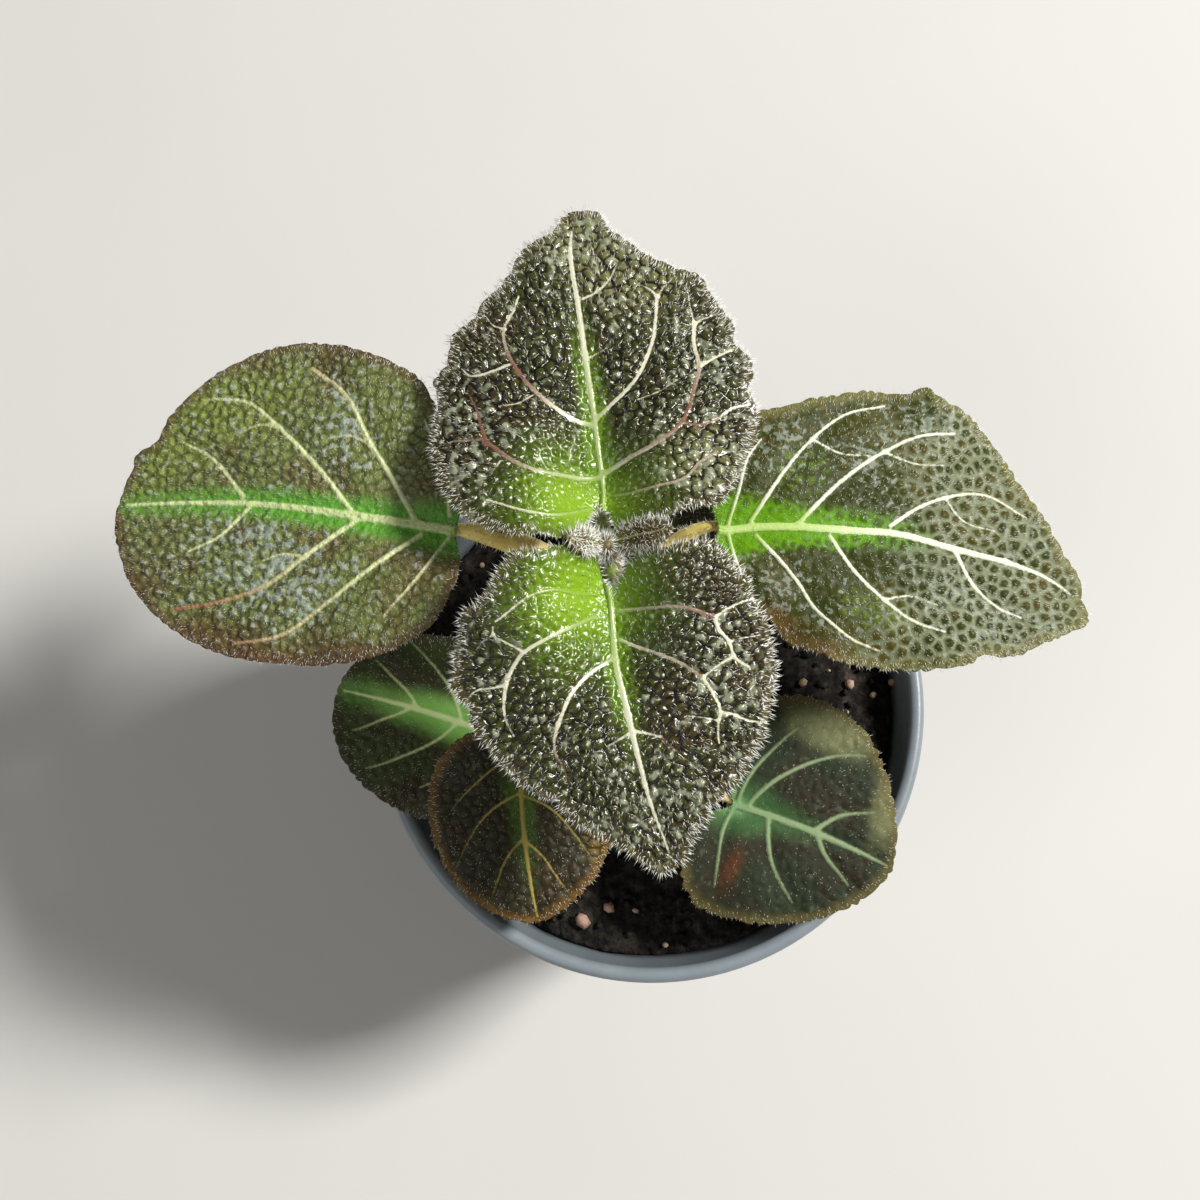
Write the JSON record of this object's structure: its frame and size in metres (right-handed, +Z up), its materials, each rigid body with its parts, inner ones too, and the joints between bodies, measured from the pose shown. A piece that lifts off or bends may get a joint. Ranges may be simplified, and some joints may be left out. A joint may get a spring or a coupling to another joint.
{
  "type": "potted pearcea",
  "caption": "Small potted foliage plant with opposite pairs of dark, quilted, hairy leaves on a leaning stem, in a plain round tapered plastic pot filled with soil.",
  "frame": {"origin": "middle of the pot's flat underside, on the surface it stands on", "axes": "+Z up along the pot's axis, +Y towards the back, where the stem leans, +X to the plant's right as the picture shows it from the front and above"},
  "size_m": [0.1262, 0.1008, 0.1173],
  "materials": {
    "pot_plastic": "satin",
    "potting_soil": "matte",
    "stem_skin": "matte",
    "leaf_dark": "satin",
    "leaf_shade": "satin",
    "leaf_young": "matte"
  },
  "bodies": {
    "root": {"pot": "pot_plastic", "soil": "potting_soil", "stem": "stem_skin", "leaf_back": "leaf_dark", "leaf_front": "leaf_dark", "leaf_left": "leaf_dark", "leaf_right": "leaf_dark", "leaf_low_left": "leaf_shade", "leaf_low_front": "leaf_shade", "leaf_low_right": "leaf_shade", "leaf_low_back": "leaf_shade", "tip_leaves": "leaf_young"}
  },
  "joints": []
}
